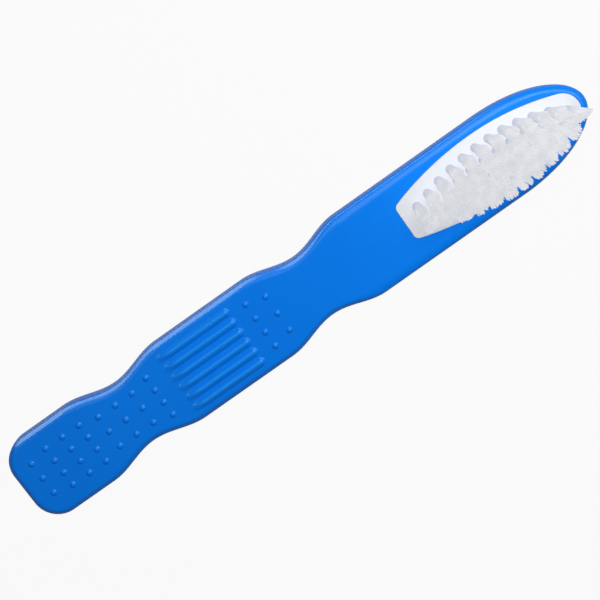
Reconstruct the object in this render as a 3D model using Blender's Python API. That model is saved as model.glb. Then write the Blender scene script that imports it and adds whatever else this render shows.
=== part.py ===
"""A short, wide toothbrush: a moulded handle, a tufting plate let into its head, and the tufts.

Metres, +Z up. The brush lies on its flat back on Z = 0, with its bristles up. X runs from the tail
to the head, and the origin is the middle of the back.
"""
import math
import random

import bmesh
import bpy
from mathutils import Vector

MM = 0.001

# Handle: one solid moulding with a flat face and a flat back
LENGTH = 104.0 * MM
THICKNESS = 4.6 * MM
WALL_DRAFT = math.radians(0.5)
GRIP_HALF_WIDTH = 6.92 * MM
HEAD_HALF_WIDTH = 7.1 * MM
TAIL_CORNER_RADIUS = 4.3 * MM
TIP_TAPER = 15.4 * MM
HANDLE_FACE_EDGE = 0.45 * MM
HANDLE_BACK_EDGE = 0.5 * MM
HEAD_FACE_EDGE = 1.0 * MM
HEAD_BACK_EDGE = 1.3 * MM

# Two waists, each drawn in and let out again along the same smooth curve
REAR_WAIST_FROM_TAIL = 20.7 * MM
NECK_FROM_TIP = 49.6 * MM
REAR_WAIST_HALF_WIDTH = 5.24 * MM
NECK_HALF_WIDTH = 5.2 * MM
WAIST_BLEND = 8.7 * MM

# Grip pattern: rows of raised dots from the tail on, broken by raised ribs in the middle
DOT_PITCH = 3.15 * MM
FIRST_DOT_FROM_TAIL = 3.55 * MM
DOT_WIDTH = 1.15 * MM
DOT_HEIGHT = 0.35 * MM
THREE_DOT_SPACING = 2.8 * MM
FOUR_DOT_SPACING = 2.33 * MM
REAR_DOT_ROWS = (3, 4, 4, 4, 3, 3, 3, 4)
RIBBED_ROWS = 5
FRONT_DOT_ROWS = (4, 3)
FRONT_DOT_SPREAD = 1.12
RIB_COUNT = 6
RIB_SPACING = 1.86 * MM
RIB_WIDTH = 1.3 * MM
RIB_HEIGHT = 0.4 * MM
RIB_FADE = 2.4 * MM

# Tufting plate, let into the head and flush with its face but for a hair
PLATE_LENGTH = 31.0 * MM
PLATE_FROM_TIP = 1.55 * MM
PLATE_HALF_WIDTH = 5.15 * MM
PLATE_END_HALF_WIDTH = 2.75 * MM
PLATE_END_TO_WIDEST = 14.9 * MM
PLATE_TIP_RADIUS = 2.7 * MM
PLATE_CORNER_RADIUS = 0.7 * MM
PLATE_THICKNESS = 1.6 * MM
PLATE_PROUD = 0.1 * MM
PLATE_EDGE = 0.15 * MM

# Clearances, and the pocket's step that carries the plate's rim
SEAT_GAP = 0.3 * MM
PLATE_SIDE_GAP = 0.25 * MM
LEDGE_WIDTH = 0.4 * MM

# Tufts: strands that spread from a root, drawn through the plate and melted flat behind it
TUFT_ROWS = 12
FIRST_TUFT_FROM_END = 2.65 * MM
LAST_TUFT_FROM_TIP = 1.9 * MM
TUFT_EDGE_MARGIN = 1.75 * MM
WIDEST_ROW_FROM_TIP = 14.25 * MM
FIRST_ROW_HALF_WIDTH = 1.15 * MM
LAST_ROW_HALF_WIDTH = 0.37 * MM
TUFT_LEAST_SPACING = 1.77 * MM
TUFT_RADIUS = 0.78 * MM
TUFT_SHANK_RADIUS = 0.52 * MM
TUFT_BUTTON_RADIUS = 0.82 * MM
TUFT_BUTTON_HEIGHT = 0.4 * MM
TUFT_COLLAR_HEIGHT = 0.25 * MM
TUFT_HOLE_GAP = 0.26 * MM
BRISTLE_HEIGHT = 7.8 * MM
TIP_SPREAD = 1.05 * MM
EDGE_FLARE = 1.35
FIELD_FAN = 0.028
TRIM_UNEVENNESS = 0.5 * MM
STRAND_GAP = 0.045 * MM
STRAND_TIP_SCALE = 0.42
STRAND_TIP_ROOM = 0.17 * MM
STRAND_STRAY = 0.05 * MM

TAIL_X = -LENGTH / 2
TIP_X = LENGTH / 2
FACE_Z = THICKNESS
REAR_WAIST_X = TAIL_X + REAR_WAIST_FROM_TAIL
NECK_X = TIP_X - NECK_FROM_TIP
PLATE_TIP_X = TIP_X - PLATE_FROM_TIP
PLATE_END_X = PLATE_TIP_X - PLATE_LENGTH
PLATE_WIDEST_X = PLATE_END_X + PLATE_END_TO_WIDEST
PLATE_TOP_Z = FACE_Z + PLATE_PROUD
PLATE_BACK_Z = PLATE_TOP_Z - PLATE_THICKNESS
LEDGE_Z = PLATE_BACK_Z - SEAT_GAP
BUTTON_TOP_Z = PLATE_BACK_Z - SEAT_GAP
BUTTON_BACK_Z = BUTTON_TOP_Z - TUFT_BUTTON_HEIGHT
POCKET_FLOOR_Z = BUTTON_BACK_Z - SEAT_GAP
HOLE_RADIUS = TUFT_SHANK_RADIUS + TUFT_HOLE_GAP
OVERSHOOT = 1.0 * MM
SHARP_ANGLE = math.radians(35)


def clear_scene():
    for old in list(bpy.data.objects):
        bpy.data.objects.remove(old, do_unlink=True)


def plastic(name, colour, roughness):
    """A Principled material of one colour."""
    material = bpy.data.materials.new(name)
    material.use_nodes = True
    shader = material.node_tree.nodes["Principled BSDF"]
    shader.inputs["Base Color"].default_value = (*colour, 1.0)
    shader.inputs["Roughness"].default_value = roughness
    shader.inputs["Metallic"].default_value = 0.0
    material.diffuse_color = (*colour, 1.0)
    return material


def add_object(name, bm, material=None):
    """Closes a bmesh into a named object whose faces point out, smooth but for its corners."""
    bmesh.ops.recalc_face_normals(bm, faces=bm.faces)
    mesh = bpy.data.meshes.new(name)
    bm.to_mesh(mesh)
    bm.free()
    mesh.shade_smooth()
    mesh.set_sharp_from_angle(angle=SHARP_ANGLE)
    if material:
        mesh.materials.append(material)
    made = bpy.data.objects.new(name, mesh)
    bpy.context.scene.collection.objects.link(made)
    return made


def cut_or_join(target, tool, operation):
    """Adds a Boolean with a tool that is itself left out of the part."""
    tool.hide_render = True
    tool.display_type = "WIRE"
    change = target.modifiers.new(f"{operation.lower()} {tool.name}", "BOOLEAN")
    change.operation = operation
    change.solver = "EXACT"
    change.object = tool


def ease(share):
    """A smooth step from 0 to 1 that starts and ends level."""
    share = min(max(share, 0.0), 1.0)
    return 0.5 - 0.5 * math.cos(math.pi * share)


def arc(centre, radius, start, end, steps):
    """Points of an arc in the XY plane, angles in radians."""
    turn = [start + (end - start) * i / steps for i in range(steps + 1)]
    return [Vector((centre[0] + radius * math.cos(a), centre[1] + radius * math.sin(a))) for a in turn]


def mirrored(side):
    """Closes the +Y side of an outline, given from its rear to its front, with its own reflection."""
    return side + [Vector((p.x, -p.y)) for p in reversed(side) if p.y > 1e-9]


def inset(outline, distances):
    """Moves each point of a closed outline inwards by its own distance, along its own normal."""
    count = len(outline)
    moved = []
    for i, point in enumerate(outline):
        along = outline[(i + 1) % count] - outline[i - 1]
        inwards = Vector((along.y, -along.x)).normalized()
        moved.append(point + inwards * distances[i])
    return moved


def loft(bm, rings):
    """Joins rings of (outline, heights) into one closed wall with a flat face at each end."""
    levels = [[bm.verts.new((p.x, p.y, z)) for p in outline] for outline, z in rings]
    for lower, upper in zip(levels, levels[1:]):
        for i in range(len(lower)):
            bm.faces.new((lower[i - 1], lower[i], upper[i], upper[i - 1]))
    bm.faces.new(levels[0])
    return bm.faces.new(levels[-1])


def half_width(x):
    """The handle's half width at its back, from the tail to where the tip starts to taper."""
    toward_tail = 1.0 - ease(abs(x - REAR_WAIST_X) / WAIST_BLEND)
    toward_neck = 1.0 - ease(abs(x - NECK_X) / WAIST_BLEND)
    full = GRIP_HALF_WIDTH if x < NECK_X else HEAD_HALF_WIDTH
    waist_drop = (GRIP_HALF_WIDTH - REAR_WAIST_HALF_WIDTH) * toward_tail
    neck_drop = (full - NECK_HALF_WIDTH) * toward_neck
    return full - waist_drop - neck_drop


def handle_outline():
    """The handle's outline at its back: tail corners, two waists, and an elliptic tip."""
    corner = (TAIL_X + TAIL_CORNER_RADIUS, GRIP_HALF_WIDTH - TAIL_CORNER_RADIUS)
    side = arc(corner, TAIL_CORNER_RADIUS, math.pi, math.pi / 2, 8)
    for waist in (REAR_WAIST_X, NECK_X):
        steps = 16
        for i in range(steps + 1):
            x = waist + WAIST_BLEND * (2 * i / steps - 1)
            side.append(Vector((x, half_width(x))))
    taper_x = TIP_X - TIP_TAPER
    steps = 14
    for i in range(steps + 1):
        turn = math.pi / 2 * i / steps
        side.append(Vector((taper_x + TIP_TAPER * math.sin(turn), HEAD_HALF_WIDTH * math.cos(turn))))
    side[-1].y = 0.0
    return mirrored(side)


def edge_rings(outline, face_edges, back_edges):
    """Rings from the back to the face: a rounded back edge, a drafted wall and a rounded face edge."""
    steps = 3
    rings = []
    for i in range(steps + 1):
        turn = math.pi / 2 * i / steps
        distances = [r * (1 - math.sin(turn)) for r in back_edges]
        heights = [r * (1 - math.cos(turn)) for r in back_edges]
        rings.append((distances, heights))
    for i in range(steps + 1):
        turn = math.pi / 2 * i / steps
        distances = []
        heights = []
        for r in face_edges:
            drop = r * (1 - math.sin(turn))
            draft = math.tan(WALL_DRAFT) * (FACE_Z - drop)
            distances.append(r * (1 - math.cos(turn)) + draft)
            heights.append(FACE_Z - drop)
        rings.append((distances, heights))
    return rings


def body():
    """The moulded blank: its edges are rounder on the head than on the handle."""
    outline = handle_outline()
    toward_head = [ease((p.x - NECK_X) / WAIST_BLEND) for p in outline]
    face_edges = [HANDLE_FACE_EDGE + (HEAD_FACE_EDGE - HANDLE_FACE_EDGE) * t for t in toward_head]
    back_edges = [HANDLE_BACK_EDGE + (HEAD_BACK_EDGE - HANDLE_BACK_EDGE) * t for t in toward_head]
    bm = bmesh.new()
    levels = []
    for distances, heights in edge_rings(outline, face_edges, back_edges):
        moved = inset(outline, distances)
        levels.append([bm.verts.new((p.x, p.y, z)) for p, z in zip(moved, heights)])
    for lower, upper in zip(levels, levels[1:]):
        for i in range(len(lower)):
            bm.faces.new((lower[i - 1], lower[i], upper[i], upper[i - 1]))
    bm.faces.new(levels[0])
    bm.faces.new(levels[-1])
    return bm


def cap_radius(width, height):
    """The radius of a ball or bar that shows as a cap of this width and height."""
    return (width * width / 4 + height * height) / (2 * height)


def dot_places():
    """The middle of each raised dot, row by row from the tail."""
    rows = [(i, count, 1.0) for i, count in enumerate(REAR_DOT_ROWS)]
    first_front = len(REAR_DOT_ROWS) + RIBBED_ROWS
    rows += [(first_front + i, count, FRONT_DOT_SPREAD) for i, count in enumerate(FRONT_DOT_ROWS)]
    places = []
    for row, count, spread in rows:
        spacing = (THREE_DOT_SPACING if count == 3 else FOUR_DOT_SPACING) * spread
        x = TAIL_X + FIRST_DOT_FROM_TAIL + row * DOT_PITCH
        places += [(x, (i - (count - 1) / 2) * spacing) for i in range(count)]
    return places


def dots():
    """Every raised dot, as a ball sunk in the face until its cap is left."""
    radius = cap_radius(DOT_WIDTH, DOT_HEIGHT)
    bm = bmesh.new()
    for x, y in dot_places():
        ball = bmesh.ops.create_uvsphere(bm, u_segments=8, v_segments=8, radius=radius)
        bmesh.ops.translate(bm, verts=ball["verts"], vec=(x, y, FACE_Z + DOT_HEIGHT - radius))
    return bm


def ribs():
    """Lengthwise ribs: round bars with domed front ends, whose tail ends sink into the face."""
    radius = cap_radius(RIB_WIDTH, RIB_HEIGHT)
    first_row = TAIL_X + FIRST_DOT_FROM_TAIL + len(REAR_DOT_ROWS) * DOT_PITCH
    start = first_row - RIB_WIDTH / 2
    end = first_row + (RIBBED_ROWS - 1) * DOT_PITCH + RIB_WIDTH / 2
    level = FACE_Z + RIB_HEIGHT - radius
    stations = [(start, -RIB_HEIGHT, 1.0), (start + RIB_FADE / 2, -RIB_HEIGHT * 0.3, 1.0)]
    stations.append((start + RIB_FADE, 0.0, 1.0))
    for degrees in (0, 30, 60, 80):
        turn = math.radians(degrees)
        stations.append((end - radius + radius * math.sin(turn), 0.0, math.cos(turn)))
    bm = bmesh.new()
    for rib in range(RIB_COUNT):
        y = (rib - (RIB_COUNT - 1) / 2) * RIB_SPACING
        rings = []
        for x, sink, share in stations:
            turns = [2 * math.pi * i / 12 for i in range(12)]
            ring = [(x, y + radius * share * math.cos(a), level + sink + radius * share * math.sin(a))
                    for a in turns]
            rings.append([bm.verts.new(p) for p in ring])
        for near, far in zip(rings, rings[1:]):
            for i in range(12):
                bm.faces.new((near[i - 1], near[i], far[i], far[i - 1]))
        bm.faces.new(rings[0])
        bm.faces.new(rings[-1])
    return bm


def plate_outline():
    """The plate's outline: a short flat end, bowed sides and a round tip, all tangent arcs."""
    rise = PLATE_HALF_WIDTH - PLATE_END_HALF_WIDTH
    rear_radius = (PLATE_END_TO_WIDEST ** 2 + rise ** 2) / (2 * rise)
    rear_centre = (PLATE_WIDEST_X, PLATE_HALF_WIDTH - rear_radius)
    corner_x = PLATE_END_X + PLATE_CORNER_RADIUS
    reach = rear_radius - PLATE_CORNER_RADIUS
    corner_y = rear_centre[1] + math.sqrt(reach ** 2 - (corner_x - PLATE_WIDEST_X) ** 2)
    corner_turn = math.atan2(corner_y - rear_centre[1], corner_x - PLATE_WIDEST_X)

    run = PLATE_TIP_X - PLATE_TIP_RADIUS - PLATE_WIDEST_X
    front_radius = (run ** 2 + PLATE_HALF_WIDTH ** 2 - PLATE_TIP_RADIUS ** 2)
    front_radius /= 2 * (PLATE_HALF_WIDTH - PLATE_TIP_RADIUS)
    front_centre = (PLATE_WIDEST_X, PLATE_HALF_WIDTH - front_radius)
    tip_centre = (PLATE_TIP_X - PLATE_TIP_RADIUS, 0.0)
    tip_turn = math.atan2(-front_centre[1], run)

    side = arc((corner_x, corner_y), PLATE_CORNER_RADIUS, math.pi, corner_turn, 3)
    side += arc(rear_centre, rear_radius, corner_turn, math.pi / 2, 7)[1:]
    side += arc(front_centre, front_radius, math.pi / 2, tip_turn, 7)[1:]
    side += arc(tip_centre, PLATE_TIP_RADIUS, tip_turn, 0.0, 6)[1:]
    side[-1].y = 0.0
    return mirrored(side)


def even_inset(outline, distance):
    return inset(outline, [distance] * len(outline))


def pocket():
    """The stepped pocket in the head: its ledge carries the plate's rim, clear of the tuft roots."""
    opening = even_inset(plate_outline(), -PLATE_SIDE_GAP)
    recess = even_inset(plate_outline(), LEDGE_WIDTH)
    bm = bmesh.new()
    loft(bm, [(recess, POCKET_FLOOR_Z), (recess, LEDGE_Z), (opening, LEDGE_Z),
              (opening, FACE_Z + OVERSHOOT)])
    return bm


def make_handle(material):
    handle = add_object("handle", body(), material)
    cut_or_join(handle, add_object("raised dots", dots()), "UNION")
    cut_or_join(handle, add_object("raised ribs", ribs()), "UNION")
    cut_or_join(handle, add_object("plate pocket", pocket()), "DIFFERENCE")
    return handle


def row_half_width(x):
    """How far from the middle a row's outermost tuft stands."""
    widest = PLATE_HALF_WIDTH - TUFT_EDGE_MARGIN
    widest_x = PLATE_TIP_X - WIDEST_ROW_FROM_TIP
    first_x = PLATE_END_X + FIRST_TUFT_FROM_END
    last_x = PLATE_TIP_X - LAST_TUFT_FROM_TIP
    end_x = first_x if x < widest_x else last_x
    end_half_width = FIRST_ROW_HALF_WIDTH if x < widest_x else LAST_ROW_HALF_WIDTH
    return widest - (widest - end_half_width) * ((x - widest_x) / (end_x - widest_x)) ** 2


def tuft_places():
    """Where each tuft stands, and on which sides it is free: a row holds as many as it has room for."""
    first_x = PLATE_END_X + FIRST_TUFT_FROM_END
    last_x = PLATE_TIP_X - LAST_TUFT_FROM_TIP
    places = []
    for row in range(TUFT_ROWS):
        x = first_x + (last_x - first_x) * row / (TUFT_ROWS - 1)
        reach = row_half_width(x)
        count = int(2 * reach / TUFT_LEAST_SPACING) + 1
        spacing = 2 * reach / (count - 1) if count > 1 else 2 * reach + TUFT_LEAST_SPACING
        free_x = (row == TUFT_ROWS - 1) - (row == 0)
        for i in range(count):
            y = (i - (count - 1) / 2) * spacing
            free_y = (i == count - 1) - (i == 0)
            name = f"tuft_{row + 1:02d}_{i + 1}"
            places.append((name, x, y, spacing, free_x, free_y))
    return places


def make_plate(material):
    """The tufting plate: a thin flat moulding with an eased rim and a hole for each tuft."""
    outline = plate_outline()
    bm = bmesh.new()
    loft(bm, [(outline, PLATE_BACK_Z), (outline, PLATE_TOP_Z - PLATE_EDGE),
              (even_inset(outline, PLATE_EDGE), PLATE_TOP_Z)])
    plate = add_object("tufting_plate", bm, material)
    bm = bmesh.new()
    depth = PLATE_THICKNESS + 2 * OVERSHOOT
    for name, x, y, spacing, free_x, free_y in tuft_places():
        hole = bmesh.ops.create_cone(bm, segments=10, radius1=HOLE_RADIUS, radius2=HOLE_RADIUS,
                                     depth=depth, cap_ends=True)
        bmesh.ops.translate(bm, verts=hole["verts"], vec=(x, y, (PLATE_TOP_Z + PLATE_BACK_Z) / 2))
    cut_or_join(plate, add_object("tuft holes", bm), "DIFFERENCE")
    return plate


def flare(offset, free_side):
    """Strands on a tuft's free side spread further than those that face a neighbour."""
    return offset * (EDGE_FLARE if offset * free_side > 0 else 1.0)


def tuft_crown(bm, x, y, z, rim, chance):
    """Splits the crown inside its rim into triangles, one to a strand, round a small heart."""
    start = chance.uniform(0, 2 * math.pi / 3)
    heart = []
    for i in range(3):
        turn = start + 2 * math.pi * i / 3
        radius = 0.42 * TUFT_RADIUS
        heart.append(bm.verts.new((x + radius * math.cos(turn), y + radius * math.sin(turn), z)))

    def nearest(vertex):
        return min(heart, key=lambda one: (one.co - vertex.co).length)

    roots = [bm.faces.new(heart)]
    for i, corner in enumerate(rim):
        before = rim[i - 1]
        roots.append(bm.faces.new((before, corner, nearest(before))))
        if nearest(before) != nearest(corner):
            roots.append(bm.faces.new((corner, nearest(corner), nearest(before))))
    return roots


def make_tuft(place, material):
    """One tuft: a melted button and a shank in the plate, and a crown split into spread strands."""
    name, x, y, spacing, free_x, free_y = place
    chance = random.Random(name)
    sides = 8
    crown_z = PLATE_TOP_Z + TUFT_COLLAR_HEIGHT
    levels = [(TUFT_BUTTON_RADIUS, BUTTON_BACK_Z), (TUFT_BUTTON_RADIUS, BUTTON_TOP_Z),
              (TUFT_SHANK_RADIUS, BUTTON_TOP_Z), (TUFT_SHANK_RADIUS, PLATE_TOP_Z),
              (TUFT_RADIUS, crown_z)]
    turns = [2 * math.pi * (i + 0.5) / sides for i in range(sides)]
    rings = []
    for radius, z in levels:
        rings.append(([Vector((x + radius * math.cos(a), y + radius * math.sin(a))) for a in turns], z))
    bm = bmesh.new()
    lid = loft(bm, rings)
    rim = list(lid.verts)
    bm.faces.remove(lid)
    roots = tuft_crown(bm, x, y, crown_z, rim, chance)
    bmesh.ops.recalc_face_normals(bm, faces=bm.faces)
    bmesh.ops.inset_individual(bm, faces=roots, thickness=STRAND_GAP)
    ends = bmesh.ops.extrude_discrete_faces(bm, faces=roots)["faces"]

    tip_x = x + FIELD_FAN * (x - (PLATE_END_X + PLATE_TIP_X) / 2)
    tip_y = y + FIELD_FAN * y
    outer_root = max((end.calc_center_median() - Vector((x, y, crown_z))).length for end in ends)
    room_across = (1 + FIELD_FAN) * spacing / 2 - STRAND_TIP_ROOM
    grow_x = TIP_SPREAD / outer_root
    grow_y = min(TIP_SPREAD, room_across) / outer_root
    for end in ends:
        root = end.calc_center_median()
        stray_x = chance.uniform(-STRAND_STRAY, STRAND_STRAY)
        stray_y = chance.uniform(-STRAND_STRAY, STRAND_STRAY)
        trim = chance.uniform(0.0, TRIM_UNEVENNESS)
        tip = Vector((tip_x + flare((root.x - x) * grow_x, free_x) + stray_x,
                      tip_y + flare((root.y - y) * grow_y, free_y) + stray_y,
                      PLATE_TOP_Z + BRISTLE_HEIGHT - trim))
        for corner in end.verts:
            corner.co = tip + (corner.co - root) * STRAND_TIP_SCALE
    return add_object(name, bm, material)


def build():
    clear_scene()
    blue = plastic("blue plastic", (0.006, 0.19, 0.72), 0.28)
    white = plastic("white plastic", (0.80, 0.81, 0.84), 0.35)
    nylon = plastic("white nylon", (0.78, 0.80, 0.84), 0.45)
    make_handle(blue)
    make_plate(white)
    for place in tuft_places():
        make_tuft(place, nylon)


build()
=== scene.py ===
"""A short, wide toothbrush on a pale ground, seen from above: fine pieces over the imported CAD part."""
import math
import random

import bpy
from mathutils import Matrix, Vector


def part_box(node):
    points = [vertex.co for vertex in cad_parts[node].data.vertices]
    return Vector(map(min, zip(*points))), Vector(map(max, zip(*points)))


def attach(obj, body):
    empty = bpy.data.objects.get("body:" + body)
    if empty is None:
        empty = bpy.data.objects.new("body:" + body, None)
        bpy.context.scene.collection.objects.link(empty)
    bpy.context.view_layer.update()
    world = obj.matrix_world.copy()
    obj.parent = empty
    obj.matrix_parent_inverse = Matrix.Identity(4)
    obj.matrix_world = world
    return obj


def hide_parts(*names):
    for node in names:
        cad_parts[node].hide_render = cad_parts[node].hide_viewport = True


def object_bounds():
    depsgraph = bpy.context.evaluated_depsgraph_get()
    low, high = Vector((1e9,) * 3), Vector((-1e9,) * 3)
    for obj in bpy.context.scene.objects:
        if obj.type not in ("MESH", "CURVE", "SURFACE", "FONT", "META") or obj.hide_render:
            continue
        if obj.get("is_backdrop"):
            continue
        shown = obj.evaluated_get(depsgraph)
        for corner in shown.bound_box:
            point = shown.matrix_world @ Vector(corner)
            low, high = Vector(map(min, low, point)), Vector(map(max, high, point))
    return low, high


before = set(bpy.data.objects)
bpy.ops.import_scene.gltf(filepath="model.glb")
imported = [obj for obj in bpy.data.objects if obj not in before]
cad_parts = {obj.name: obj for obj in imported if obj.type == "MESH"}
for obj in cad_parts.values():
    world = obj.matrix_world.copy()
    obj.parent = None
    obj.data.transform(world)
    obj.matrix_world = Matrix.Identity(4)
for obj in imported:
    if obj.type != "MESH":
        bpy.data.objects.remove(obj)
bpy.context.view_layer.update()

# Camera: it looks down on the brush from a hand's length above, turned so that the head points up
# and to the right. Its place and lens were fitted to the brush's own edges and dots.
bpy.ops.object.select_all(action="DESELECT")
bpy.ops.object.camera_add(location=(0.012962, 0.036665, 0.219652), rotation=(-0.1743, -0.0482, -0.6136))
camera = bpy.context.active_object
camera.data.sensor_width = 36.0
camera.data.lens = 86.75
camera.data.clip_start = 0.02
bpy.context.scene.camera = camera
bpy.context.scene.view_settings.view_transform = "Standard"


class Wire:
    """A socket of a node tree. Arithmetic on it adds Math nodes, and node() adds any other node."""

    def __init__(self, tree, socket=None):
        self.tree = tree
        self.socket = socket

    def node(self, kind, settings=None, inputs=None, output=0):
        """A new node's output socket. Its settings are set first, then its inputs, by value or by link."""
        made = self.tree.nodes.new(kind)
        for name, value in (settings or {}).items():
            setattr(made, name, value)
        for name, value in (inputs or {}).items():
            if isinstance(value, Wire):
                self.tree.links.new(value.socket, made.inputs[name])
            else:
                made.inputs[name].default_value = value
        return Wire(self.tree, made.outputs[output] if made.outputs else None)

    def math(self, operation, *values):
        return self.node("ShaderNodeMath", {"operation": operation}, dict(enumerate(values)))

    def mix(self, colour, other):
        """The colour where this is 0 and the other where it is 1."""
        return self.node("ShaderNodeMix", {"data_type": "RGBA"}, {0: self, 6: colour, 7: other}, 2)

    def __add__(self, other):
        return self.math("ADD", self, other)

    __radd__ = __add__

    def __mul__(self, other):
        return self.math("MULTIPLY", self, other)

    __rmul__ = __mul__


def new_material(name):
    """An empty material and the wire that its nodes hang on."""
    material = bpy.data.materials.new(name)
    material.use_nodes = True
    material.node_tree.nodes.clear()
    return material, Wire(material.node_tree)


# Ground: a pale sheet that runs up into a low wall all round, as in a small photo tent. It shows
# white to the eye and less so in reflections, and still takes the brush's soft shadow.
GROUND_RADIUS, GROUND_Z = 1.2, -0.00005
WALL_STEPS = ((1.10, 0.02), (1.08, 0.08), (1.05, 0.16), (1.02, 0.7))
WHITE_TO_EYE, WHITE_IN_GLOSS = 0.93, 0.15

bpy.ops.object.select_all(action="DESELECT")
bpy.ops.mesh.primitive_circle_add(vertices=96, radius=GROUND_RADIUS, fill_type="NGON",
                                  location=(0, 0, GROUND_Z))
ground = bpy.context.active_object
ground.name = "ground"
bpy.ops.object.mode_set(mode="EDIT")
bpy.ops.mesh.select_mode(type="EDGE")
bpy.ops.mesh.select_all(action="SELECT")
for outwards, upwards in WALL_STEPS:
    bpy.ops.mesh.extrude_edges_move(TRANSFORM_OT_translate={"value": (0, 0, upwards)})
    bpy.ops.transform.resize(value=(outwards, outwards, 1.0), center_override=(0, 0, 0))
bpy.ops.object.mode_set(mode="OBJECT")
bpy.ops.object.shade_smooth()

paper, wire = new_material("pale paper")
to_eye = wire.node("ShaderNodeLightPath", output="Is Camera Ray")
glossy = wire.node("ShaderNodeLightPath", output="Is Glossy Ray")
through = wire.node("ShaderNodeLightPath", output="Is Transmission Ray")
seen = to_eye * WHITE_TO_EYE + wire.math("MAXIMUM", glossy, through) * WHITE_IN_GLOSS
lit = wire.node("ShaderNodeBsdfDiffuse", None, {"Color": (0.42, 0.42, 0.42, 1.0)})
white = wire.node("ShaderNodeEmission", None, {"Color": (1.0, 1.0, 1.0, 1.0), "Strength": 1.0})
surface = wire.node("ShaderNodeMixShader", None, {0: seen, 1: lit, 2: white})
wire.node("ShaderNodeOutputMaterial", None, {"Surface": surface})
ground.data.materials.append(paper)
ground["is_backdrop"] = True

# Light: a soft room and a shadowless fill close beside the camera, which reaches down between the
# tufts. A long strip above draws the lines along the ribs, and a low one on the far side draws the
# line along the edge. The low one shows only in the gloss, so the handle's wall stays dark.
world = bpy.data.worlds.new("soft room")
world.use_nodes = True
world.node_tree.nodes["Background"].inputs["Color"].default_value = (0.82, 0.92, 1.0, 1.0)
world.node_tree.nodes["Background"].inputs["Strength"].default_value = 0.135
bpy.context.scene.world = world
LAMPS = {
    "fill": ((0.100, 0.056, 0.140), (0.03, 0.0, 0.0), 0.20, 0.10, 0.255),
    "long strip": ((-0.01, 0.12, 0.40), (0.0, 0.0, 0.0), 0.44, 0.07, 0.40),
    "low strip": ((-0.15, 0.78, 0.046), (0.0, 0.0, 0.0), 0.66, 0.09, 3.6),
}
for name, (place, aim, wide, high, power) in LAMPS.items():
    turn = (Vector(aim) - Vector(place)).to_track_quat("-Z", "Y").to_euler()
    bpy.ops.object.light_add(type="AREA", location=place, rotation=turn)
    lamp = bpy.context.active_object
    lamp.name = name
    lamp.data.shape = "RECTANGLE"
    lamp.data.size = wide
    lamp.data.size_y = high
    lamp.data.energy = power
    lamp.visible_camera = False
    lamp.data.use_shadow = name != "fill"
    lamp.visible_diffuse = name != "low strip"

# Handle: one solid injection moulding in glossy blue plastic. Its halves met at the fine parting line
# round the wall. A flat bevel runs round its face, and on the head that becomes a round shoulder.
MM = 0.001
TAIL_X, TIP_X = -52.0 * MM, 52.0 * MM
FACE_Z = 4.6 * MM
GRIP_HALF_WIDTH = 6.92 * MM
HEAD_HALF_WIDTH = 7.1 * MM
TAIL_CORNER = 4.3 * MM
TIP_TAPER = 15.4 * MM
REAR_WAIST_X, REAR_WAIST_HALF_WIDTH = TAIL_X + 20.7 * MM, 5.24 * MM
NECK_X, NECK_HALF_WIDTH = TIP_X - 49.6 * MM, 5.2 * MM
WAIST_BLEND = 8.7 * MM
PARTING_Z = 2.5 * MM
DRAFT, PARTING_RIDGE = math.tan(math.radians(1.0)), 0.03 * MM
# The parting line's section, as pairs: a share of the ridge's height, and millimetres above its middle
PARTING_PROFILE = ((0.0, -0.05), (1.0, -0.02), (1.0, 0.02), (0.0, 0.05))
BACK_EDGE, HEAD_BACK_EDGE = 0.5 * MM, 1.3 * MM
# The face's edge in millimetres, as pairs: how far in from the wall, and how far down from the face
FACE_EDGE = ((0.0, 0.74), (0.012, 0.697), (0.05, 0.643), (0.30, 0.370), (0.54, 0.108), (0.62, 0.042),
             (0.72, 0.009), (1.05, 0.002), (1.5, 0.0))
NECK_EDGE = ((0.0, 1.15), (0.02, 0.90), (0.08, 0.66), (0.17, 0.46), (0.24, 0.345), (0.42, 0.255),
             (0.85, 0.135), (1.3, 0.03), (1.75, 0.0))
HEAD_EDGE, HEAD_EDGE_DROP, TIP_EDGE = 1.42, 1.15, 1.05
NECK_EDGE_BLEND = 1.5 * WAIST_BLEND
HEAD_EDGE_X, HEAD_EDGE_BLEND = 16 * MM, 20 * MM
TIP_EDGE_X, TIP_EDGE_BLEND = 38 * MM, 13 * MM
TAIL_STEPS, WAIST_STEPS, TIP_STEPS = 24, 28, 48


def ease(share):
    """A smooth step from 0 to 1 that starts and ends level."""
    share = min(max(share, 0.0), 1.0)
    return 0.5 - 0.5 * math.cos(math.pi * share)


def half_width(x):
    """The handle's half width, with both waists drawn in."""
    full = GRIP_HALF_WIDTH if x < NECK_X else HEAD_HALF_WIDTH
    rear = 1.0 - ease(abs(x - REAR_WAIST_X) / WAIST_BLEND)
    neck = 1.0 - ease(abs(x - NECK_X) / WAIST_BLEND)
    return full - (GRIP_HALF_WIDTH - REAR_WAIST_HALF_WIDTH) * rear - (full - NECK_HALF_WIDTH) * neck


def arc(x, y, radius, start, end, steps):
    """Points of an arc in the ground's plane, its turns in radians."""
    turns = [start + (end - start) * i / steps for i in range(steps + 1)]
    return [Vector((x + radius * math.cos(t), y + radius * math.sin(t))) for t in turns]


def closed(side):
    """A whole outline from its +Y side, which runs from the rear to the front."""
    return side + [Vector((p.x, -p.y)) for p in reversed(side) if p.y > 1e-9]


def moved_in(outline, distance):
    """An outline drawn in by the same distance all round."""
    moved = []
    for before, point, after in zip(outline[-1:] + outline, outline, outline[1:] + outline[:1]):
        along = after - before
        moved.append(point + Vector((along.y, -along.x)).normalized() * distance)
    return moved


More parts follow.
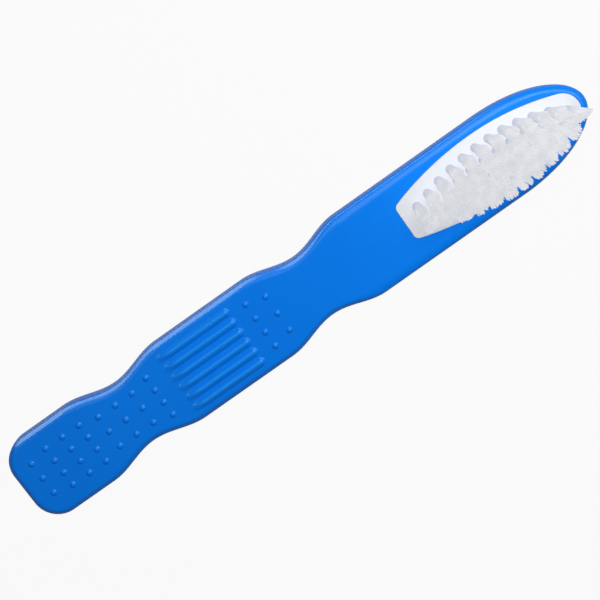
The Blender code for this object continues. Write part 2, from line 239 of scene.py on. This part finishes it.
side = arc(TAIL_X + TAIL_CORNER, GRIP_HALF_WIDTH - TAIL_CORNER, TAIL_CORNER, math.pi, math.pi / 2,
           TAIL_STEPS)
for waist in (REAR_WAIST_X, NECK_X):
    for i in range(2 * WAIST_STEPS + 1):
        x = waist + WAIST_BLEND * (i / WAIST_STEPS - 1)
        side.append(Vector((x, half_width(x))))
for i in range(TIP_STEPS + 1):
    turn = math.pi / 2 * i / TIP_STEPS
    side.append(Vector((TIP_X - TIP_TAPER * (1 - math.sin(turn)), HEAD_HALF_WIDTH * math.cos(turn))))
side[-1].y = 0.0
handle_outline = closed(side)


def raised_outline(name, outline, section):
    """A solid from an outline. section(x) gives its wall there, from the bottom up, as pairs: how far
    in from the outline, and how high."""
    bpy.ops.object.select_all(action="DESELECT")
    bpy.ops.mesh.primitive_circle_add(vertices=len(outline), radius=1.0, fill_type="NGON",
                                      location=(0, 0, 0))
    solid = bpy.context.active_object
    solid.name = name
    turns = {(round(v.co.x, 5), round(v.co.y, 5)): i for i, v in enumerate(solid.data.vertices)}
    bpy.ops.object.mode_set(mode="EDIT")
    bpy.ops.mesh.select_mode(type="FACE")
    bpy.ops.mesh.select_all(action="SELECT")
    for ring in section(outline[0].x)[1:]:
        bpy.ops.mesh.extrude_region_move(TRANSFORM_OT_translate={"value": (0, 0, 1.0)})
    bpy.ops.object.mode_set(mode="OBJECT")
    inner = moved_in(outline, 1.0)
    for vertex in solid.data.vertices:
        i = turns[round(vertex.co.x, 5), round(vertex.co.y, 5)]
        inward, height = section(outline[i].x)[round(vertex.co.z)]
        place = outline[i] + (inner[i] - outline[i]) * inward
        vertex.co = (place.x, place.y, height)
    bpy.ops.object.select_all(action="DESELECT")
    solid.select_set(True)
    bpy.ops.object.mode_set(mode="EDIT")
    bpy.ops.mesh.select_all(action="SELECT")
    bpy.ops.mesh.normals_make_consistent(inside=False)
    bpy.ops.object.mode_set(mode="OBJECT")
    return solid


def handle_section(x):
    """The handle's wall: its eased back edge, the parting line, and the edge of its face. That is a
    bevel on the grip, a shoulder past the neck and a quarter round on the head."""
    neck = ease((x - NECK_X) / NECK_EDGE_BLEND)
    head = ease((x - HEAD_EDGE_X) / HEAD_EDGE_BLEND)
    back = BACK_EDGE + (HEAD_BACK_EDGE - BACK_EDGE) * neck
    wide = HEAD_EDGE - (HEAD_EDGE - TIP_EDGE) * ease((x - TIP_EDGE_X) / TIP_EDGE_BLEND)
    turns = [math.pi / 10 * i for i in range(6)]
    wall = [(back * (1 - math.sin(turn)), back * (1 - math.cos(turn))) for turn in turns]
    for out, up in PARTING_PROFILE:
        wall.append((-PARTING_RIDGE * out, PARTING_Z + up * MM))
    for i, ((inward, down), (neck_inward, neck_down)) in enumerate(zip(FACE_EDGE, NECK_EDGE)):
        turn = math.pi / 2 * i / (len(FACE_EDGE) - 1)
        neck_inward += (wide * (1 - math.cos(turn)) - neck_inward) * head
        neck_down += (HEAD_EDGE_DROP * (1 - math.sin(turn)) - neck_down) * head
        inward += (neck_inward - inward) * neck
        down += (neck_down - down) * neck
        wall.append((inward * MM, FACE_Z - down * MM))
    return [(inward + abs(height - PARTING_Z) * DRAFT, height) for inward, height in wall]


handle = raised_outline("moulded_handle", handle_outline, handle_section)

# Grip: rows of small domes and six lengthwise ribs, moulded in one with the handle. They run into its
# face on soft feet, and the ribs fade out towards the tail.
DOT_PITCH = 3.15 * MM
FIRST_DOT_X = TAIL_X + 3.55 * MM
DOT_RADIUS, DOT_HEIGHT, DOT_SOFTNESS = 0.58 * MM, 0.25 * MM, 1.2
THREE_SPACING, FOUR_SPACING, FRONT_SPREAD = 2.8 * MM, 2.33 * MM, 1.12
REAR_ROWS, RIBBED_ROWS, FRONT_ROWS = (3, 4, 4, 4, 3, 3, 3, 4), 5, (4, 3)
RIB_COUNT, RIB_SPACING, RIB_HALF_WIDTH, RIB_HEIGHT = 6, 1.86 * MM, 0.86 * MM, 0.41 * MM
RIB_OVERRUN = 0.75 * MM
RIB_START_X = FIRST_DOT_X + len(REAR_ROWS) * DOT_PITCH - RIB_OVERRUN
RIB_END_X = FIRST_DOT_X + (len(REAR_ROWS) + RIBBED_ROWS - 1) * DOT_PITCH + RIB_OVERRUN
RIB_FADE, RIB_NOSE, RIB_SOFTNESS = 3.2 * MM, 0.9 * MM, 1.7
SUNK, ROOT = 0.02 * MM, 0.5 * MM


def crest(share, softness):
    """The rise of a rounded crest at a share of its half width. A softer one has a longer foot."""
    return max(0.0, 1.0 - share ** 2) ** softness


def rooted(sheet):
    """Makes a curved sheet a solid, whose flat underside lies in the handle."""
    bpy.ops.object.mode_set(mode="EDIT")
    bpy.ops.mesh.select_mode(type="FACE")
    bpy.ops.mesh.select_all(action="SELECT")
    bpy.ops.mesh.extrude_region_move(TRANSFORM_OT_translate={"value": (0, 0, 0)})
    bpy.ops.object.mode_set(mode="OBJECT")
    for vertex in sheet.data.vertices:
        if not vertex.select:
            vertex.co.z = FACE_Z - ROOT
    return sheet


def copied(piece, offset=(0.0, 0.0, 0.0)):
    """A copy with its own mesh, which is moved by an offset."""
    twin = piece.copy()
    twin.data = piece.data.copy()
    for vertex in twin.data.vertices:
        vertex.co += Vector(offset)
    bpy.context.collection.objects.link(twin)
    return twin


def chosen(pieces):
    """Selects these pieces alone, with the first one active."""
    bpy.ops.object.select_all(action="DESELECT")
    for piece in pieces:
        piece.select_set(True)
    bpy.context.view_layer.objects.active = pieces[0]


def joined(pieces):
    """One piece from several."""
    chosen(pieces)
    bpy.ops.object.join()
    return bpy.context.active_object


def apply_all(piece):
    """Applies every modifier of a piece."""
    chosen([piece])
    for modifier in list(piece.modifiers):
        bpy.ops.object.modifier_apply(modifier=modifier.name)


def cut_or_join(piece, tool, operation):
    """Adds or takes away a tool, which is then thrown away."""
    change = piece.modifiers.new(operation, "BOOLEAN")
    change.operation = operation
    change.solver = "EXACT"
    change.object = tool
    apply_all(piece)
    bpy.data.objects.remove(tool)


bpy.ops.object.select_all(action="DESELECT")
bpy.ops.mesh.primitive_circle_add(vertices=28, radius=DOT_RADIUS, fill_type="NGON", location=(0, 0, 0))
dome = bpy.context.active_object
bpy.ops.object.mode_set(mode="EDIT")
bpy.ops.mesh.select_mode(type="FACE")
bpy.ops.mesh.select_all(action="SELECT")
for ring in range(9):
    bpy.ops.mesh.inset(thickness=DOT_RADIUS / 10)
bpy.ops.object.mode_set(mode="OBJECT")
for vertex in dome.data.vertices:
    share = min(math.hypot(vertex.co.x, vertex.co.y) / DOT_RADIUS, 1.0)
    vertex.co.z = FACE_Z - SUNK + (DOT_HEIGHT + SUNK) * crest(share, DOT_SOFTNESS)
rooted(dome)
raised = []
for first, rows, spread in ((0, REAR_ROWS, 1.0), (len(REAR_ROWS) + RIBBED_ROWS, FRONT_ROWS, FRONT_SPREAD)):
    for row, count in enumerate(rows):
        spacing = (THREE_SPACING if count == 3 else FOUR_SPACING) * spread
        for i in range(count):
            x = FIRST_DOT_X + (first + row) * DOT_PITCH
            raised.append(copied(dome, (x, (i - (count - 1) / 2) * spacing, 0.0)))
bpy.data.objects.remove(dome)

for rib in range(RIB_COUNT):
    middle = (rib - (RIB_COUNT - 1) / 2) * RIB_SPACING
    bpy.ops.object.select_all(action="DESELECT")
    bpy.ops.mesh.primitive_grid_add(x_subdivisions=96, y_subdivisions=20, size=1.0, location=(0, 0, 0))
    bar = bpy.context.active_object
    for vertex in bar.data.vertices:
        x = RIB_START_X + (RIB_END_X - RIB_START_X) * (vertex.co.x + 0.5)
        across = vertex.co.y * 2
        fade = ease((x - RIB_START_X) / RIB_FADE)
        nose = max(0.0, (x - (RIB_END_X - RIB_NOSE)) / RIB_NOSE)
        rise = crest(math.hypot(across, nose), RIB_SOFTNESS) * fade
        vertex.co = (x, middle + across * RIB_HALF_WIDTH, FACE_Z - SUNK + (RIB_HEIGHT + SUNK) * rise)
    raised.append(rooted(bar))

grip = joined(raised)
bpy.ops.object.mode_set(mode="EDIT")
bpy.ops.mesh.select_all(action="SELECT")
bpy.ops.mesh.normals_make_consistent(inside=False)
bpy.ops.object.mode_set(mode="OBJECT")
cut_or_join(handle, grip, "UNION")

# Plate pocket: a stepped recess in the head. Its ledge carries the plate's rim, and below it the
# melted ends of the tufts have room. The handle is then complete and gets its finish.
PLATE_LENGTH, PLATE_FROM_TIP = 31.0 * MM, 1.55 * MM
PLATE_HALF_WIDTH, PLATE_END_HALF_WIDTH = 5.15 * MM, 2.75 * MM
PLATE_END_TO_WIDEST, PLATE_TIP_RADIUS, PLATE_CORNER = 14.9 * MM, 2.7 * MM, 0.7 * MM
LEDGE_Z, LEDGE_WIDTH, POCKET_FLOOR_Z = 2.8 * MM, 0.4 * MM, 2.1 * MM
POCKET_GAP, MOUTH_EDGE, OVERCUT = 0.25 * MM, 0.05 * MM, 0.1 * MM
SMOOTH_ANGLE = math.radians(32)

front_x = TIP_X - PLATE_FROM_TIP
end_x = front_x - PLATE_LENGTH
widest_x = end_x + PLATE_END_TO_WIDEST
flare = PLATE_HALF_WIDTH - PLATE_END_HALF_WIDTH
rear_radius = (PLATE_END_TO_WIDEST ** 2 + flare ** 2) / (2 * flare)
rear_y = PLATE_HALF_WIDTH - rear_radius
corner_x = end_x + PLATE_CORNER
corner_y = rear_y + math.sqrt((rear_radius - PLATE_CORNER) ** 2 - (corner_x - widest_x) ** 2)
corner_turn = math.atan2(corner_y - rear_y, corner_x - widest_x)
run = front_x - PLATE_TIP_RADIUS - widest_x
front_radius = run ** 2 + PLATE_HALF_WIDTH ** 2 - PLATE_TIP_RADIUS ** 2
front_radius /= 2 * (PLATE_HALF_WIDTH - PLATE_TIP_RADIUS)
front_y = PLATE_HALF_WIDTH - front_radius
tip_turn = math.atan2(-front_y, run)
side = arc(corner_x, corner_y, PLATE_CORNER, math.pi, corner_turn, 8)
side += arc(widest_x, rear_y, rear_radius, corner_turn, math.pi / 2, 26)[1:]
side += arc(widest_x, front_y, front_radius, math.pi / 2, tip_turn, 26)[1:]
side += arc(front_x - PLATE_TIP_RADIUS, 0.0, PLATE_TIP_RADIUS, tip_turn, 0.0, 18)[1:]
side[-1].y = 0.0
plate_outline = closed(side)


def mouth_section(x):
    """The pocket above its ledge, with its eased mouth."""
    return ((-POCKET_GAP, LEDGE_Z), (-POCKET_GAP, FACE_Z - MOUTH_EDGE),
            (-POCKET_GAP - 0.3 * MOUTH_EDGE, FACE_Z - 0.3 * MOUTH_EDGE),
            (-POCKET_GAP - MOUTH_EDGE, FACE_Z), (-POCKET_GAP - 3 * MOUTH_EDGE, FACE_Z + MOUTH_EDGE))


def recess_section(x):
    """The narrower recess below the ledge."""
    return (LEDGE_WIDTH, POCKET_FLOOR_Z), (LEDGE_WIDTH, LEDGE_Z + OVERCUT)


def smoothed(piece):
    """Shades a piece as smooth up to an angle, and evenly over its large faces."""
    chosen([piece])
    bpy.ops.object.shade_smooth_by_angle(angle=SMOOTH_ANGLE)
    weighted = piece.modifiers.new("even shading", "WEIGHTED_NORMAL")
    weighted.keep_sharp = True
    apply_all(piece)


cut_or_join(handle, raised_outline("mouth", plate_outline, mouth_section), "DIFFERENCE")
cut_or_join(handle, raised_outline("recess", plate_outline, recess_section), "DIFFERENCE")
smoothed(handle)

blue, wire = new_material("glossy blue plastic")
place = wire.node("ShaderNodeTexCoord", output="Object")
clouds = wire.node("ShaderNodeTexNoise", None, {"Vector": place, "Scale": 75.0, "Detail": 3.0})
ripple = wire.node("ShaderNodeTexNoise", None, {"Vector": place, "Scale": 260.0, "Detail": 1.0})
colour = clouds.mix((0.0002, 0.200, 0.88, 1.0), (0.0008, 0.230, 0.95, 1.0))
# Painted highlight: the tops of the dots and ribs are painted a lighter blue, which fades in from 4.7 to
# 5.0 mm up.
height = wire.node("ShaderNodeSeparateXYZ", None, {0: place}, "Z")
painted_crest_highlight = wire.node("ShaderNodeMapRange", None, {"Value": height, "From Min": 0.00470, "From Max": 0.00500})
colour = painted_crest_highlight.mix(colour, (0.004, 0.265, 0.96, 1.0))
bump = wire.node("ShaderNodeBump", None, {"Height": ripple, "Strength": 0.02, "Distance": 0.00002})
shader = wire.node("ShaderNodeBsdfPrincipled", None, {
    "Base Color": colour, "Roughness": 0.25 + clouds * 0.04, "IOR": 1.53, "Normal": bump,
    "Specular IOR Level": 0.28, "Specular Tint": (0.68, 1.0, 0.9, 1.0)})
wire.node("ShaderNodeOutputMaterial", None, {"Surface": shader})
handle.data.materials.clear()
handle.data.materials.append(blue)
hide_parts("handle")
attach(handle, "root")

# Tufting plate: a thin white moulding with a hole for each tuft, dropped in the pocket and welded
# round its rim. It stands a hair above the head's face.
PLATE_TOP_Z, PLATE_BACK_Z = 4.7 * MM, 3.1 * MM
PLATE_GAP, PLATE_EDGE, HOLE_RADIUS, PIN_LENGTH = 0.02 * MM, 0.08 * MM, 0.70 * MM, 6 * MM
ROOT_SLICE = 0.01 * MM

tufts = {}
for name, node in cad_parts.items():
    if name.startswith("tuft_"):
        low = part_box(name)[0].z
        root = [v.co for v in node.data.vertices if v.co.z < low + ROOT_SLICE]
        row, seat = (int(part) for part in name.split("_")[1:])
        middle = sum((co.copy() for co in root), Vector()) / len(root)
        tufts[row, seat] = (name, middle.x, middle.y)

plate = raised_outline("white_plate", plate_outline, lambda x: (
    (PLATE_GAP - POCKET_GAP, PLATE_BACK_Z), (PLATE_GAP - POCKET_GAP, PLATE_TOP_Z)))
weights = plate.data.attributes.new("bevel_weight_edge", "FLOAT", "EDGE")
for edge in plate.data.edges:
    if min(plate.data.vertices[i].co.z for i in edge.vertices) > PLATE_TOP_Z - 1e-6:
        weights.data[edge.index].value = 1.0
eased = plate.modifiers.new("eased rim", "BEVEL")
eased.limit_method = "WEIGHT"
eased.width = PLATE_EDGE
eased.segments = 4
eased.use_clamp_overlap = False
apply_all(plate)
pins = []
for name, x, y in tufts.values():
    bpy.ops.object.select_all(action="DESELECT")
    bpy.ops.mesh.primitive_cylinder_add(vertices=32, radius=HOLE_RADIUS, depth=PIN_LENGTH,
                                        location=(x, y, PLATE_TOP_Z))
    pins.append(bpy.context.active_object)
# The last pin leads: the leader's place sets the last digit of each corner, and so how the cut meets it
drill = joined(pins[::-1])
bpy.ops.object.transform_apply()
cut_or_join(plate, drill, "DIFFERENCE")
smoothed(plate)

white_plastic, wire = new_material("white plate plastic")
place = wire.node("ShaderNodeTexCoord", output="Object")
grain = wire.node("ShaderNodeTexNoise", None, {"Vector": place, "Scale": 2600.0, "Detail": 2.0})
clouds = wire.node("ShaderNodeTexNoise", None, {"Vector": place, "Scale": 160.0, "Detail": 2.0})
colour = clouds.mix((0.75, 0.77, 0.81, 1.0), (0.79, 0.805, 0.83, 1.0))
bump = wire.node("ShaderNodeBump", None, {"Height": grain, "Strength": 0.1, "Distance": 0.00002})
shader = wire.node("ShaderNodeBsdfPrincipled", None, {
    "Base Color": colour, "Roughness": 0.30 + grain * 0.10, "IOR": 1.49, "Normal": bump})
wire.node("ShaderNodeOutputMaterial", None, {"Surface": shader})
plate.data.materials.clear()
plate.data.materials.append(white_plastic)
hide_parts("tufting_plate")
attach(plate, "root")

# Tufts: bundles of fine nylon filaments with rounded ends. Each is pushed through its hole and its
# lower end melted to a flat button; above the plate the filaments stand free and spread. On the near
# side they splay into points, and on the far side they stand straighter, as on a used brush.
STRAND_RADIUS, STRAND_PITCH, BUNDLE_RADIUS = 0.057 * MM, 0.115 * MM, 0.66 * MM
STRAND_FOOT_Z = LEDGE_Z - 0.05 * MM
BUTTON_RADIUS, BUTTON_HEIGHT, BUTTON_EDGE = 0.82 * MM, 0.4 * MM, 0.12 * MM
TIP_Z, TRIM = 12.5 * MM, 0.16 * MM
SPREAD, OVERLAP, FAN, STRAY = 1.32 * MM, 0.05 * MM, 0.028, 0.06 * MM
SQUARENESS = 0.87
FRONT_REACH, REAR_REACH, NEAR_REACH, FAR_REACH = 1.1, 0.85, 1.25, 0.5
REAR_ROW_REACH, REAR_ROW_COUNT = 0.62, 4
FAR_NARROWING, NEAR_NARROWING, NARROWING_CURVE = 0.33 * MM, 0.60 * MM, 1.5
LAST_WIDTH, LAST_FAR_WIDTH, LAST_TAPER = 0.52, 0.6, 0.75
LAST_LEAN, LONE_ROOM = 0.75 * MM, 2.4 * MM
CLUMPS, CLUMPING, EDGE_CLUMPING, END_CLUMPING = 8, 0.06, 0.25, 0.4
BEND, FAR_BEND = (1.0, 1.2), 0.6
# How much of its own side a filament keeps in the shading, which otherwise takes it as upright
OWN_SHADING, OWN_SHADING_FALL, UP_SHADING = 0.4, 0.26, 0.99
LEVELS = ((PLATE_TOP_Z, 1.0), (6.5 * MM, 1.2), (8.6 * MM, 1.3), (10.6 * MM, 1.2), (11.9 * MM, 1.15),
          (12.35 * MM, 0.85), (TIP_Z, 0.5))

roots = []
for i in range(-8, 9):
    for j in range(-8, 9):
        spot = Vector((STRAND_PITCH * (i + j / 2), STRAND_PITCH * j * math.sqrt(3) / 2))
        if spot.length <= BUNDLE_RADIUS:
            roots.append(spot)

bpy.ops.object.select_all(action="DESELECT")
bpy.ops.mesh.primitive_circle_add(vertices=5, radius=STRAND_RADIUS, fill_type="NGON",
                                  location=(0, 0, STRAND_FOOT_Z))
strand = bpy.context.active_object
bpy.ops.object.transform_apply()
bpy.ops.object.mode_set(mode="EDIT")
bpy.ops.mesh.select_mode(type="FACE")
bpy.ops.mesh.select_all(action="SELECT")
low = STRAND_FOOT_Z
for high, size in LEVELS:
    bpy.ops.mesh.extrude_region_move(TRANSFORM_OT_translate={"value": (0, 0, high - low)})
    bpy.ops.transform.resize(value=(size, size, 1.0), center_override=(0, 0, 0))
    low = high
bpy.ops.mesh.select_all(action="SELECT")
bpy.ops.mesh.normals_make_consistent(inside=False)
bpy.ops.object.mode_set(mode="OBJECT")
bpy.ops.object.shade_smooth_by_angle(angle=math.radians(80))
strands = []
for i, spot in enumerate(roots):
    twin = copied(strand, (spot.x, spot.y, 0.0))
    for place in twin.data.attributes.new("number", "INT", "POINT").data:
        place.value = i
    strands.append(twin)
bpy.data.objects.remove(strand)
bundle = joined(strands)
owners = [place.value for place in bundle.data.attributes["number"].data]
bundle.data.attributes.remove(bundle.data.attributes["number"])

bpy.ops.object.select_all(action="DESELECT")
bpy.ops.mesh.primitive_cylinder_add(vertices=24, radius=BUTTON_RADIUS, depth=BUTTON_HEIGHT,
                                    location=(0, 0, LEDGE_Z - BUTTON_HEIGHT / 2))
button = bpy.context.active_object
bpy.ops.object.transform_apply()
bpy.ops.object.mode_set(mode="EDIT")
bpy.ops.mesh.select_all(action="SELECT")
bpy.ops.mesh.bevel(offset=BUTTON_EDGE, segments=3, affect="EDGES")
bpy.ops.object.mode_set(mode="OBJECT")
bpy.ops.object.shade_smooth_by_angle(angle=math.radians(40))

nylon, wire = new_material("white nylon filament")
place = wire.node("ShaderNodeTexCoord", output="Object")
# Painted shade: the filaments are painted a darker, bluer grey at the plate, where the tufts shade each
# other, and lighten to their full colour at 12.5 mm.
height = wire.node("ShaderNodeSeparateXYZ", None, {0: place}, "Z")
up = wire.node("ShaderNodeMapRange", None, {"Value": height, "From Min": 0.0045, "From Max": 0.0125})
threads = wire.node("ShaderNodeTexNoise", None, {"Vector": place, "Scale": 2400.0, "Detail": 1.0})
mottle = wire.node("ShaderNodeTexNoise", None, {
    "Vector": place, "Scale": 650.0, "Detail": 3.0, "Roughness": 0.5})
patch = wire.node("ShaderNodeMapRange", None, {"Value": mottle, "From Min": 0.35, "From Max": 0.65})
colour = up.mix((0.57, 0.60, 0.71, 1.0), patch.mix((0.67, 0.68, 0.715, 1.0), (0.76, 0.765, 0.785, 1.0)))
shader = wire.node("ShaderNodeBsdfPrincipled", None, {
    "Base Color": colour, "Roughness": 0.45 + threads * 0.15, "IOR": 1.53, "Specular IOR Level": 0.3})
wire.node("ShaderNodeOutputMaterial", None, {"Surface": shader})


def reach(share, row, room, free_x, free_y):
    """How far a filament's end stands from its tuft's middle, from its place in the bundle. The bundle
    opens from round to nearly square, and free_x and free_y say on which side it has no neighbour."""
    way = share.normalized()
    square = 1.0 / max(abs(way.x), abs(way.y)) ** SQUARENESS if share.length else 1.0
    narrow = FAR_NARROWING if free_y > 0 else NEAR_NARROWING * max(share.y * free_y, 0.0) ** NARROWING_CURVE
    grow = Vector((SPREAD - narrow, min(SPREAD, room / 2 + OVERLAP))) * square
    if share.x * free_x > 0:
        grow.x *= FRONT_REACH if free_x > 0 else REAR_REACH
    if share.y * free_y > 0:
        by_row = REAR_ROW_REACH + (1.0 - REAR_ROW_REACH) * ease((row - 1) / REAR_ROW_COUNT)
        grow.y *= FAR_REACH if free_y > 0 else NEAR_REACH * by_row
    if row == last_row:
        taper = 1.0 - LAST_TAPER * max(share.x, 0.0)
        grow.y *= LAST_WIDTH * (LAST_FAR_WIDTH if share.y > 0 else 1.0) * taper
    return Vector((share.x * grow.x, share.y * grow.y))


last_row = max(row for row, seat in tufts)
middle_x = sum(x for name, x, y in tufts.values()) / len(tufts)
for (row, seat), (name, x, y) in tufts.items():
    chance = random.Random(name)
    in_row = [place[2] for key, place in tufts.items() if key[0] == row]
    room = (max(in_row) - min(in_row)) / (len(in_row) - 1) if len(in_row) > 1 else LONE_ROOM
    free_x = (row == last_row) - (row == 1)
    free_y = (y == max(in_row)) - (y == min(in_row)) if len(in_row) > 1 else 0
    turned = chance.uniform(0, math.pi / 3)
    cos, sin = math.cos(turned), math.sin(turned)
    lean = Vector((FAN * (x - middle_x) + chance.uniform(-0.5, 0.5) * STRAY,
                   FAN * y + chance.uniform(-0.5, 0.5) * STRAY - (LAST_LEAN if row == last_row else 0.0)))
    knots = []
    for i in range(CLUMPS):
        far, around = chance.random() ** 0.5, chance.uniform(0, 2 * math.pi)
        knots.append(Vector((far * math.cos(around), far * math.sin(around))))
    aims = []
    for spot in roots:
        spot = Vector((spot.x * cos - spot.y * sin, spot.x * sin + spot.y * cos))
        share = spot / BUNDLE_RADIUS
        knot = min(knots, key=lambda knot: (knot - share).length_squared)
        edge = max(END_CLUMPING * share.x * free_x, share.y * free_y, 0.0)
        share = share.lerp(knot, CLUMPING + EDGE_CLUMPING * edge)
        stray = Vector((chance.gauss(0, 1), chance.gauss(0, 1))) * STRAY
        tip = reach(share, row, room, free_x, free_y) + lean + stray
        aims.append((spot, tip, TRIM * chance.random() ** 2, chance.uniform(*BEND)))
    tuft = copied(bundle)
    tuft.name = "bristles_" + name.split("_", 1)[1]
    late = FAR_BEND if free_y > 0 else 0.0
    for vertex, owner in zip(tuft.data.vertices, owners):
        spot, tip, trim, bend = aims[owner]
        local = vertex.co.xy - roots[owner]
        rise = max(0.0, (vertex.co.z - PLATE_TOP_Z) / (TIP_Z - PLATE_TOP_Z))
        where = Vector((x, y)) + spot.lerp(tip, rise ** (bend + late)) + local
        vertex.co = (where.x, where.y, vertex.co.z - trim * rise)
    joined([tuft, copied(button, (x, y, 0.0))])
    normals = []
    for vertex in tuft.data.vertices:
        rise = max(0.0, (vertex.co.z - PLATE_TOP_Z) / (TIP_Z - PLATE_TOP_Z))
        own = vertex.normal * (OWN_SHADING - OWN_SHADING_FALL * rise)
        normals.append((own + Vector((0, 0, UP_SHADING))).normalized())
    tuft.data.normals_split_custom_set_from_vertices(normals)
    tuft.data.materials.clear()
    tuft.data.materials.append(nylon)
    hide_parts(name)
    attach(tuft, "root")
bpy.data.objects.remove(bundle)
bpy.data.objects.remove(button)

low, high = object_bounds()
